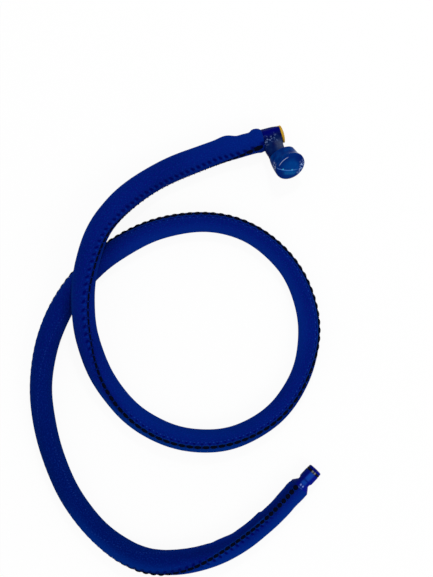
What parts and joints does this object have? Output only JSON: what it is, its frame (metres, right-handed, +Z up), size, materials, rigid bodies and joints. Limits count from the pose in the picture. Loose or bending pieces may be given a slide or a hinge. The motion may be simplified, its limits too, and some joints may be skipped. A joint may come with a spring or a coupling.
{
  "type": "insulated drinking hose",
  "caption": "Padded drinking hose of a hydration bladder, laid in an open loop, with a turning shut-off elbow, a soft bite valve and a quick-connect plug.",
  "frame": {"origin": "middle of the footprint, on the plane the hose rests on", "axes": "+Z up from the resting plane; +Y along the loop's long side, towards the mouthpiece; +X towards the quick-connect plug's side"},
  "size_m": [0.2035, 0.3152, 0.033],
  "materials": {
    "tube": "clear polyurethane, faintly blue",
    "sleeve": "jersey-faced neoprene, royal blue",
    "seam": "black foam edge under blue thread",
    "elbow": "dark indigo, slightly clear",
    "lever": "mustard",
    "mouthpiece": "glossy clear blue silicone",
    "connector": "navy",
    "seal": "black, greased"
  },
  "bodies": {
    "hose": {"drink_tube": "tube", "insulation_sleeve": "sleeve", "seam_thread": "seam", "valve_body": "elbow", "connector_body": "connector", "connector_o_ring": "seal"},
    "shutoff": {"shutoff_lever": "lever", "barrel_o_ring_inner": "seal", "barrel_o_ring_outer": "seal"},
    "mouthpiece": {"bite_valve": "mouthpiece"}
  },
  "joints": [
    {"name": "shutoff_turn", "type": "hinge", "parent": "hose", "child": "shutoff", "pos_m": [0.06549, 0.1484, 0.00832], "axis": [0.9652, 0.2614, 0], "range_deg": [0, 90]},
    {"name": "mouthpiece_turn", "type": "hinge", "parent": "hose", "child": "mouthpiece", "pos_m": [0.06549, 0.1484, 0.00832], "axis": [0.4063, -0.836, 0.3689], "continuous": true}
  ]
}
